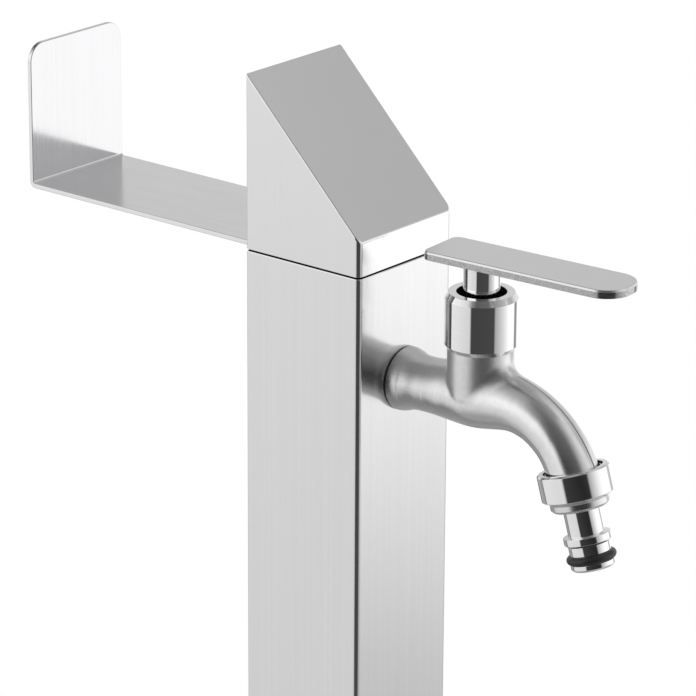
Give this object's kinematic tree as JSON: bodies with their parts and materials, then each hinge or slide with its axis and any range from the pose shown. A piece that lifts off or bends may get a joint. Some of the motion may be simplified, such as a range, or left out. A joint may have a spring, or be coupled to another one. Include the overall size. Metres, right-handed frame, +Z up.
{
  "type": "garden standpipe",
  "caption": "Square brushed-steel garden water column with a slanted cap, a folded hose rest behind it, and a quarter-turn lever tap with a quick hose connector in front.",
  "frame": {"origin": "centre of the base plate's underside, on the column's axis and in the middle of its four bolt holes", "axes": "+Z up along the column, the tap points along -Y, the hose rest points along +Y"},
  "size_m": [0.13, 0.2944, 1],
  "materials": {
    "brushed_steel": "vertical brushing",
    "lever_steel": "fine satin",
    "cast_steel": "satin cast stainless steel",
    "polished_steel": "polished",
    "hidden_steel": "plain mill finish",
    "weld_bead": "dressed weld",
    "dark_steel": "blackened",
    "brass_fitting": "turned brass",
    "black_rubber": "smooth",
    "dark_plastic": "matte",
    "ceramic": "lapped ceramic"
  },
  "bodies": {
    "column": {"base_plate": "brushed_steel", "base_weld": "weld_bead", "column_tube": "brushed_steel", "cap_gasket": "black_rubber", "cap_shell": "brushed_steel", "cap_top_plate": "brushed_steel", "cap_insert": "hidden_steel", "cap_screws": "polished_steel", "hose_rest": "brushed_steel", "rest_weld": "weld_bead", "inlet_seal": "black_rubber", "tap_body": "cast_steel", "inlet_locknut": "brass_fitting", "inlet_elbow": "brass_fitting", "riser_pipe": "hidden_steel", "pipe_guide": "dark_plastic", "supply_coupling": "brass_fitting", "bonnet_sleeve": "polished_steel", "cartridge_body": "brass_fitting", "fixed_disc": "ceramic", "seat_seal": "black_rubber", "outlet_seal": "black_rubber", "hose_connector": "polished_steel", "nipple_seal": "black_rubber"},
    "handle": {"lever": "lever_steel", "lever_hub": "polished_steel", "spindle": "brass_fitting", "spindle_seals": "black_rubber", "turning_disc": "ceramic", "grub_screw": "dark_steel"}
  },
  "joints": [
    {"name": "lever_turn", "type": "hinge", "parent": "column", "child": "handle", "pos_m": [0, -0.0694, 0.9209], "axis": [0, 0, 1], "range_deg": [0, 90]}
  ]
}
